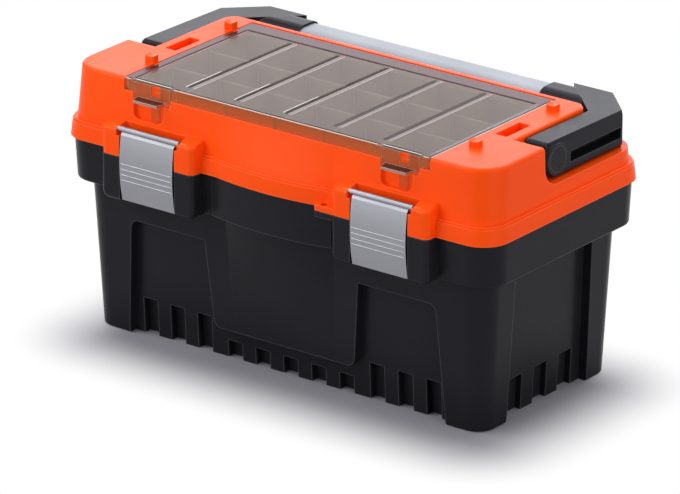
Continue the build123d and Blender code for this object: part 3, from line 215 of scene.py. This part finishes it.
def moulded(name, dark, light, rough, level, tint=(1, 1, 1), edge_highlight=None, edge=0.3):
    """Injection-moulded plastic: cloudy colour, fine grain, a soft unevenness, rounded edges and an optional
    painted highlight along outer edges.
    """
    material, tree, surface = shader(name)
    where = object_space(tree)
    cloud = noise(tree, where, CLOUD, detail=4.0, rough=0.6)
    colour = mix(tree, spread(tree, cloud, 0, 1), dark, light)
    # Painted highlight: the outer edges are lightened towards the edge colour.
    if edge_highlight:
        colour = mix(tree, edge_highlight_mask(tree, PLASTIC_HIGHLIGHT_REACH), colour, edge_highlight)
    tree.links.new(colour, surface.inputs["Base Color"])
    grain = noise(tree, where, GRAIN, detail=2.0)
    smear = noise(tree, where, SMEAR)
    roughness = spread(tree, smear, rough - ROUGH_SPREAD, rough + ROUGH_SPREAD)
    tree.links.new(roughness, surface.inputs["Roughness"])
    soft = bump(tree, smear, strength=0.05, distance=0.002, normal=soft_edge(tree, edge))
    fine = bump(tree, grain, strength=0.06, distance=0.0002, normal=soft)
    tree.links.new(fine, surface.inputs["Normal"])
    surface.inputs["Specular IOR Level"].default_value = level
    surface.inputs["Specular Tint"].default_value = (*tint, 1)
    return material


def brushed(name, dark, light, rough, stretch, depth, edge_highlight):
    """Brushed metal with fine lines along one axis and a painted highlight along its outer edges."""
    material, tree, surface = shader(name)
    lines = noise(tree, object_space(tree, stretch), 1.0, detail=4.0, rough=0.6)
    cloud = noise(tree, object_space(tree), 14.0, detail=2.0)
    colour = mix(tree, spread(tree, lines, 0, 1), dark, light)
    # Painted highlight: the outer edges are lightened towards the edge colour.
    tree.links.new(mix(tree, edge_highlight_mask(tree, METAL_HIGHLIGHT_REACH), colour, edge_highlight), surface.inputs["Base Color"])
    roughness = spread(tree, cloud, rough - ROUGH_SPREAD, rough + ROUGH_SPREAD)
    tree.links.new(roughness, surface.inputs["Roughness"])
    fine = bump(tree, lines, strength=depth, distance=0.0002, normal=soft_edge(tree, 0.4))
    tree.links.new(fine, surface.inputs["Normal"])
    surface.inputs["Metallic"].default_value = 1.0
    return material


def glossy_clear(tree, surface, rough, level):
    """Glossy, slightly uneven face of clear plastic."""
    smear = noise(tree, object_space(tree), 45.0)
    tree.links.new(spread(tree, smear, rough - 0.02, rough + 0.03), surface.inputs["Roughness"])
    soft = bump(tree, smear, strength=0.01, distance=0.001, normal=soft_edge(tree, 0.5))
    tree.links.new(soft, surface.inputs["Normal"])
    surface.inputs["Specular IOR Level"].default_value = level


def outward_z(tree):
    """Upward part of a face's outer side, the same seen from either side."""
    turned = spread(tree, add(tree, "NewGeometry").outputs["Backfacing"], 1, -1, 0, 1)
    return maths(tree, "MULTIPLY", xyz(tree, add(tree, "TexCoord").outputs["Normal"])["Z"], turned)


def clear_alpha(tree, surface, alpha, masks):
    """Opacity of clear plastic, at least as dense as each mask says, that lets most of the light through."""
    for mask, dense in masks:
        alpha = maths(tree, "MAXIMUM", alpha, maths(tree, "MULTIPLY", mask, dense))
    passing = spread(tree, add(tree, "LightPath").outputs["Is Shadow Ray"], 1.0, 0.12, 0, 1)
    tree.links.new(maths(tree, "MULTIPLY", alpha, passing), surface.inputs["Alpha"])


def cover_clear(name, top, wall, border, rail, rim_highlight):
    """Smoked cover: a hazy top with a denser border and strips, clearer walls and underside, pale painted
    highlights along the edges; the strips' paler colour is painted light on the lit side of each rib.
    """
    material, tree, surface = shader(name)
    facing = outward_z(tree)
    place = xyz(tree, object_space(tree))
    x, y = place["X"], place["Y"]
    up = spread(tree, facing, 0, 1, start=0.5, end=0.9)
    down = spread(tree, facing, 1, 0, start=-0.9, end=-0.5)

    left = below(tree, x, BORDER_LEFT, BORDER_BLUR)
    rear = above(tree, y, BORDER_REAR, BORDER_BLUR)
    edging = both(tree, maths(tree, "MAXIMUM", left, rear), up)
    lip = both(tree, above(tree, x, LIP_RIGHT, LIP_BLUR), up)
    from_strip = maths(tree, "PINGPONG", maths(tree, "SUBTRACT", x, RIB_SHIFT + STRIP_SET), CELL_PITCH / 2)
    strips = both(tree, below(tree, from_strip, STRIP_HALF), band(tree, x, -STRIPS_END, STRIPS_END))
    sides = maths(tree, "MAXIMUM", *(band(tree, x, *ends) for ends in SIDE_STRIPS))
    rails = both(tree, maths(tree, "MAXIMUM", strips, sides), band(tree, y, RIB_FRONT, RIB_REAR))
    rails = both(tree, rails, up)
    from_rib = maths(tree, "PINGPONG", x, CELL_PITCH / 2)
    webs = both(tree, below(tree, from_rib, WEB_HALF), spread(tree, y, 1, 0, WEB_FRONT, WEB_REAR))
    edge = edge_mask(tree, CLEAR_EDGE)

    cloud = spread(tree, noise(tree, object_space(tree), 14.0), 0, 1)
    haze = mix(tree, cloud, *shades(top, 0.04))
    colour = mix(tree, edging, mix(tree, up, wall, haze), border)
    # Paler strips beside the ribs: painted light on each rib's lit side.
    colour = mix(tree, rails, colour, rail)
    # Pale painted highlight along the edges.
    tree.links.new(mix(tree, edge, colour, rim_highlight), surface.inputs["Base Color"])

    wall_alpha, top_more, under_less = 0.28, 0.44, 0.22
    alpha = maths(tree, "ADD", maths(tree, "MULTIPLY", up, top_more), wall_alpha)
    alpha = maths(tree, "SUBTRACT", alpha, maths(tree, "MULTIPLY", down, under_less))
    clear_alpha(tree, surface, alpha, ((edging, 0.97), (lip, 0.97), (rails, 0.93), (webs, 0.5), (edge, 0.7)))
    glossy_clear(tree, surface, rough=0.22, level=0.16)
    return material


def clip_clear(name, smoke, ledge, front, rim_highlight, tongue_edge_shade):
    """Smoked clip: a clear plate, a darker ledge with a paler front, pale painted highlights along the edges and
    a faint tongue with painted shade along its edges.
    """
    material, tree, surface = shader(name)
    facing = outward_z(tree)
    place = xyz(tree, object_space(tree))
    up = spread(tree, facing, 0, 1, start=0.8, end=0.95)
    tip = below(tree, place["Y"], LEDGE_FRONT, LEDGE_BLUR)
    tongue = below(tree, place["Z"], TONGUE_TOP, TONGUE_BLUR)
    edge = edge_mask(tree, CLEAR_EDGE)

    streaks = noise(tree, object_space(tree, (1.0, 1.0, 0.1)), 160.0)
    body = mix(tree, spread(tree, streaks, 0, 1), *shades(smoke, 0.25))
    colour = mix(tree, tip, mix(tree, up, body, ledge), front)
    # Pale painted highlight along the edges, painted shade along the tongue's edges.
    outline = mix(tree, tongue, rim_highlight, tongue_edge_shade)
    tree.links.new(mix(tree, edge, colour, outline), surface.inputs["Base Color"])

    plate_alpha, ledge_more, tongue_less = 0.32, 0.60, 0.16
    alpha = maths(tree, "ADD", maths(tree, "MULTIPLY", up, ledge_more), plate_alpha)
    alpha = maths(tree, "SUBTRACT", alpha, maths(tree, "MULTIPLY", tongue, tongue_less))
    clear_alpha(tree, surface, alpha, ((tip, 0.92), (edge, 0.92)))
    glossy_clear(tree, surface, rough=0.14, level=0.25)
    return material


# In each finish below, the colour given for the outer edges is a painted highlight.
BLACK = moulded("black_plastic", (0.0122, 0.0119, 0.0140), (0.0142, 0.0139, 0.0162), rough=0.27, level=0.080,
                tint=(0.85, 0.845, 1.0), edge_highlight=(0.075, 0.075, 0.085), edge=0.9)
ORANGE = moulded("orange_plastic", (0.94, 0.072, 0.0022), (0.98, 0.080, 0.0030), rough=0.34, level=0.10,
                 edge_highlight=(1.0, 0.15, 0.035), edge=0.9)
SEAT_SHADE = moulded("seat_shade", (0.20, 0.012, 0.0020), (0.25, 0.016, 0.0026), rough=0.6, level=0.03)
TRAY = moulded("tray_plastic", (0.30, 0.262, 0.218), (0.345, 0.303, 0.252), rough=0.55, level=0.3,
               edge_highlight=(0.66, 0.61, 0.56))
# The rim colours of the two clear finishes are painted highlights along their edges, and the clip's tongue edge
# colour is painted shade.
SMOKE = cover_clear("smoke_clear", top=(0.085, 0.045, 0.030), wall=(0.20, 0.15, 0.055),
                    border=(0.045, 0.012, 0.018), rail=(0.135, 0.100, 0.098), rim_highlight=(0.40, 0.34, 0.31))
CLIP = clip_clear("smoke_clip", smoke=(0.20, 0.125, 0.045), ledge=(0.030, 0.011, 0.007),
                  front=(0.30, 0.225, 0.205), rim_highlight=(0.92, 0.80, 0.74), tongue_edge_shade=(0.09, 0.016, 0.006))
# Colours of the thin lines: the first four are painted shade, the last two painted highlight.
LINE_DARK_SHADE = moulded("rib_shade", (0.012, 0.007, 0.006), (0.020, 0.012, 0.010), rough=0.6, level=0.03)
LINE_MID_SHADE = moulded("rib_mid_shade", (0.034, 0.027, 0.025), (0.044, 0.035, 0.032), rough=0.6, level=0.03)
LINE_SOFT_SHADE = moulded("rib_soft_shade", (0.078, 0.066, 0.062), (0.092, 0.078, 0.074), rough=0.6, level=0.03)
LINE_BROWN_SHADE = moulded("border_shade", (0.060, 0.028, 0.022), (0.075, 0.036, 0.030), rough=0.6, level=0.04)
LINE_PALE_HIGHLIGHT = moulded("edge_pale_highlight", (0.54, 0.45, 0.41), (0.60, 0.50, 0.45), rough=0.4, level=0.3)
LINE_HIGHLIGHT = moulded("rib_highlight", (0.50, 0.48, 0.47), (0.56, 0.54, 0.53), rough=0.22, level=0.9)
LATCH = brushed("latch_aluminium", (0.250, 0.250, 0.277), (0.278, 0.278, 0.305), rough=0.42,
                stretch=(30.0, 1400.0, 1400.0), depth=0.05, edge_highlight=(0.42, 0.42, 0.45))
BAR = brushed("bar_aluminium", (0.295, 0.31, 0.335), (0.32, 0.335, 0.36), rough=0.62,
              stretch=(25.0, 1100.0, 1100.0), depth=0.05, edge_highlight=(0.5, 0.51, 0.54))
STEEL = brushed("steel", (0.34, 0.34, 0.36), (0.46, 0.46, 0.48), rough=0.32,
                stretch=(1500.0, 60.0, 60.0), depth=0.1, edge_highlight=(0.6, 0.6, 0.62))

FINISH = {
    "base_tub": BLACK, "lid_shell": ORANGE, "organiser_tray": TRAY, "organiser_cover": SMOKE,
    "handle_bar": BAR, "sleeve_screws": STEEL,
}
PAIRS = {
    "cover_clip_": CLIP, "latch_plate_": LATCH, "latch_pin_": STEEL, "hinge_pin_": STEEL, "pivot_pin_": STEEL,
    "handle_arm_": BLACK, "handle_sleeve_": BLACK, "pivot_cap_": BLACK,
}
for pair, material in PAIRS.items():
    for side in ("left", "right"):
        FINISH[pair + side] = material
for column in range(1, 7):
    for row in (1, 2):
        FINISH[f"divider_{column}_{row}"] = TRAY

for name, material in FINISH.items():
    node = NODES[name]
    node.data.materials.clear()
    node.data.materials.append(material)


def bead(name, start, end, width, material, body):
    """Thin raised line that carries painted shade or a painted highlight: half-round across, with rounded ends.
    """
    start, end = Vector(start), Vector(end)
    along = (end - start).normalized()
    across = Vector((-along.y, along.x, 0))
    length = (end - start).length
    reach = width / 2
    turns = [math.pi / 2 * i / END_STEPS for i in range(END_STEPS + 1)]
    stations = [(reach * (1 - math.cos(t)), max(math.sin(t), LEAST_SIZE)) for t in turns]
    stations += [(length - place, size) for place, size in reversed(stations)]
    points = []
    for place, size in stations:
        for i in range(ARCH):
            turn = math.pi * i / ARCH_STEPS
            side = across * (math.cos(turn) * reach * size)
            rise = Vector((0, 0, math.sin(turn) * LINE_HEIGHT * size))
            points.append(start + along * place + side + rise)
    faces = []
    for first in range(0, len(points) - ARCH, ARCH):
        for a in range(first, first + ARCH_STEPS):
            faces.append((a, a + 1, a + 1 + ARCH, a + ARCH))
        last = first + ARCH_STEPS
        faces.append((last, first, first + ARCH, last + ARCH))
    faces.append(tuple(reversed(range(ARCH))))
    faces.append(tuple(range(len(points) - ARCH, len(points))))
    mesh = bpy.data.meshes.new(name)
    mesh.from_pydata(points, [], faces)
    mesh.materials.append(material)
    piece = bpy.data.objects.new(name, mesh)
    bpy.context.scene.collection.objects.link(piece)
    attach(piece, body)


def line_back(name, x, front, rear, width, material):
    """Line on the cover's top from front to rear."""
    bead(name, (x, front, COVER_TOP), (x, rear, COVER_TOP), width, material, "cover")


def line_across(name, y, left, right, width, material):
    """Line on the cover's top from left to right."""
    bead(name, (left, y, COVER_TOP), (right, y, COVER_TOP), width, material, "cover")


def cover_lines():
    """Lines of painted shade and painted highlight along the cover's ribs, border and edges."""
    for i in range(RIB_COUNT):
        number = i + 1
        x = (i - RIB_COUNT // 2) * CELL_PITCH + RIB_SHIFT
        if i < LIT_RIBS:
            # Painted shade along the rib, and a painted highlight on its front half.
            line_back(f"rib_shade_{number}", x + SHADE_SET, RIB_FRONT, RIB_REAR, SHADE_W, LINE_MID_SHADE)
            line_back(f"rib_highlight_{number}", x + LIGHT_SET, RIB_FRONT, RIB_HALFWAY, LIGHT_W, LINE_HIGHLIGHT)
        else:
            # Painted shade along the rib.
            line_back(f"rib_shade_{number}", x + SOFT_SET, RIB_FRONT, RIB_REAR, SOFT_W, LINE_SOFT_SHADE)
        # Painted highlight at the edge of the paler strip beside the rib.
        line_back(f"rail_highlight_{number}", x + RAIL_SET, RIB_FRONT, RIB_REAR, RAIL_W, LINE_PALE_HIGHLIGHT)

    left = -COVER_HALF + LINE_SIDE
    rear = COVER_REAR - LINE_REAR
    # Painted shade along the border.
    line_back("border_left", left, COVER_FRONT + 0.006, rear, width=0.0027, material=LINE_BROWN_SHADE)
    line_across("border_rear", rear, left, COVER_HALF - LINE_SIDE, width=0.0036, material=LINE_BROWN_SHADE)

    right = COVER_HALF - 0.0006
    ends = COVER_FRONT + 0.002, COVER_REAR - 0.003
    # Painted highlight on the right edge, with painted shade just inside it.
    line_back("edge_right", right, *ends, width=0.0012, material=LINE_HIGHLIGHT)
    line_back("edge_right_shade", right - 0.0016, *ends, width=0.0016, material=LINE_DARK_SHADE)

    for side, x in (("left", -CLIP_X), ("right", CLIP_X)):
        ends = x - CLIP_BAY_HALF, x + CLIP_BAY_HALF
        # Painted highlight on each clip bay's edge, with painted shade behind it.
        line_across("bay_edge_" + side, BAY_REAR + 0.0008, *ends, width=0.0016, material=LINE_HIGHLIGHT)
        line_across("bay_shade_" + side, BAY_REAR + 0.0029, *ends, width=0.0024, material=LINE_DARK_SHADE)

    gap = CLIP_BAY_HALF + 0.0042
    corner = COVER_HALF - 0.002
    front = COVER_FRONT + 0.0007
    spans = ((-corner, -CLIP_X - gap), (-CLIP_X + gap, CLIP_X - gap), (CLIP_X + gap, corner))
    for number, ends in enumerate(spans, 1):
        # Painted highlight on the front edge, with painted shade behind it.
        line_across(f"edge_front_{number}", front, *ends, width=0.0018, material=LINE_PALE_HIGHLIGHT)
        line_across(f"edge_shade_{number}", front + 0.0021, *ends, width=0.0024, material=LINE_DARK_SHADE)


def seat_lines():
    """Shaded lines on the lid's top along the cover's left edge and behind its hinge."""
    z = COVER_TOP - 0.0001
    width = 0.0016
    left, rear = -COVER_HALF - 0.0013, HINGE_GAP_REAR + 0.0009
    corner = left, rear, z
    bead("seat_line_left", (left, COVER_FRONT + 0.004, z), corner, width, SEAT_SHADE, "lid")
    bead("seat_line_rear", corner, (COVER_HALF, rear, z), width, SEAT_SHADE, "lid")


cover_lines()
seat_lines()


# The floor: the rectangle where its paint shows, as middle and half along each axis, and the fade around it.
FLOOR_HALF = 9
PAINT_X, PAINT_Y = (0.025, 0.225), (-0.0325, 0.0875)
PAINT_FADE = 0.125


def floor_paint(name, dark, light):
    """Paint near the object, where the real shadow shows, and a white glow for camera and glossy rays away from
    it: painted light that fades the shadow to plain white beyond the fade.
    """
    material, tree, surface = shader(name)
    place = xyz(tree, object_space(tree))
    sides = []
    for axis, (middle, half) in (("X", PAINT_X), ("Y", PAINT_Y)):
        out = maths(tree, "ABSOLUTE", maths(tree, "SUBTRACT", place[axis], middle))
        out = maths(tree, "MAXIMUM", maths(tree, "SUBTRACT", out, half), 0.0)
        sides.append(maths(tree, "POWER", out, 2.0))
    distance = maths(tree, "SQRT", maths(tree, "ADD", *sides))
    rays = add(tree, "LightPath")
    seen = rays.outputs["Is Camera Ray"]
    for kind in ("Is Glossy Ray", "Is Transmission Ray"):
        seen = maths(tree, "MAXIMUM", seen, rays.outputs[kind])
    # Painted light: the white glow grows with the distance from the rectangle.
    away = maths(tree, "MULTIPLY", spread(tree, distance, 0, 1, 0, PAINT_FADE, "SMOOTHSTEP"), seen)
    cloud = noise(tree, object_space(tree), 0.7, detail=2.0)
    tree.links.new(mix(tree, away, mix(tree, cloud, dark, light), (0, 0, 0)), surface.inputs["Base Color"])
    tree.links.new(away, surface.inputs["Emission Strength"])
    surface.inputs["Emission Color"].default_value = (1, 1, 1, 1)
    surface.inputs["Roughness"].default_value = 0.9
    surface.inputs["Specular IOR Level"].default_value = 0.0
    return material


def plane(name, corners, material):
    """Flat stage sheet through its corners."""
    mesh = bpy.data.meshes.new(name)
    mesh.from_pydata(corners, [], [tuple(range(len(corners)))])
    mesh.materials.append(material)
    sheet = bpy.data.objects.new(name, mesh)
    bpy.context.scene.collection.objects.link(sheet)


FLOOR = floor_paint("floor_paint", (0.30, 0.295, 0.33), (0.32, 0.315, 0.35))
plane("floor", [(x * FLOOR_HALF, y * FLOOR_HALF, 0) for x, y in ((-1, -1), (1, -1), (1, 1), (-1, 1))], FLOOR)


LIGHT_AIM = Vector((0, 0, 0.15))


def area_light(name, place, width, height, power, colour=(1, 1, 1)):
    """Soft box that faces the object."""
    data = bpy.data.lights.new(name, "AREA")
    data.color = colour
    data.shape = "RECTANGLE"
    data.size = width
    data.size_y = height
    data.energy = power
    lamp = bpy.data.objects.new(name, data)
    lamp.location = place
    lamp.rotation_euler = (LIGHT_AIM - Vector(place)).to_track_quat("-Z", "Y").to_euler()
    bpy.context.scene.collection.objects.link(lamp)


area_light("top_box", (-0.3, 0.8, 2.5), width=3.0, height=2.2, power=58)
area_light("back_card", (-1.1, 2.5, 1.25), width=5.4, height=2.4, power=96, colour=(0.94, 0.95, 1.0))
area_light("key_left", (-1.7, -1.1, 2.2), width=1.4, height=1.4, power=34)
area_light("front_box", (-0.9, -2.7, 0.9), width=3.4, height=2.0, power=50)
area_light("right_box", (2.9, -0.4, 0.9), width=2.4, height=2.0, power=45)

world = bpy.data.worlds.new("studio")
bpy.context.scene.world = world
world.use_nodes = True
sky = world.node_tree.nodes["Background"]
sky.inputs["Color"].default_value = (1, 1, 1.01, 1)
sky.inputs["Strength"].default_value = 0.2


# The camera: its angles, and the target's place in the picture from the picture's middle.
AZIMUTH = math.radians(37.43)
ELEVATION = math.radians(21.31)
DISTANCE = 6.453
FOCUS_PX = 6286.0
IMAGE_W = 680
SENSOR_MM = 36.0
FARTHEST = 60.0
TARGET = Vector((0, 0, 0.130))
TARGET_RIGHT_PX = 10.74
TARGET_UP_PX = 18.84

sa, ca = math.sin(AZIMUTH), math.cos(AZIMUTH)
se, ce = math.sin(ELEVATION), math.cos(ELEVATION)
right = Vector((ca, sa, 0))
up = Vector((-sa * se, ca * se, ce))
back = Vector((sa * ce, -ca * ce, se))
metre_per_px = DISTANCE / FOCUS_PX
spot = TARGET + back * DISTANCE - right * (TARGET_RIGHT_PX * metre_per_px) - up * (TARGET_UP_PX * metre_per_px)
camera_data = bpy.data.cameras.new("camera")
camera_data.sensor_width = SENSOR_MM
camera_data.lens = FOCUS_PX / IMAGE_W * SENSOR_MM
camera_data.clip_end = FARTHEST
camera = bpy.data.objects.new("camera", camera_data)
camera.matrix_world = Matrix.Translation(spot) @ Matrix((right, up, back)).transposed().to_4x4()
bpy.context.scene.collection.objects.link(camera)
bpy.context.scene.camera = camera
bpy.context.scene.view_settings.view_transform = "Standard"
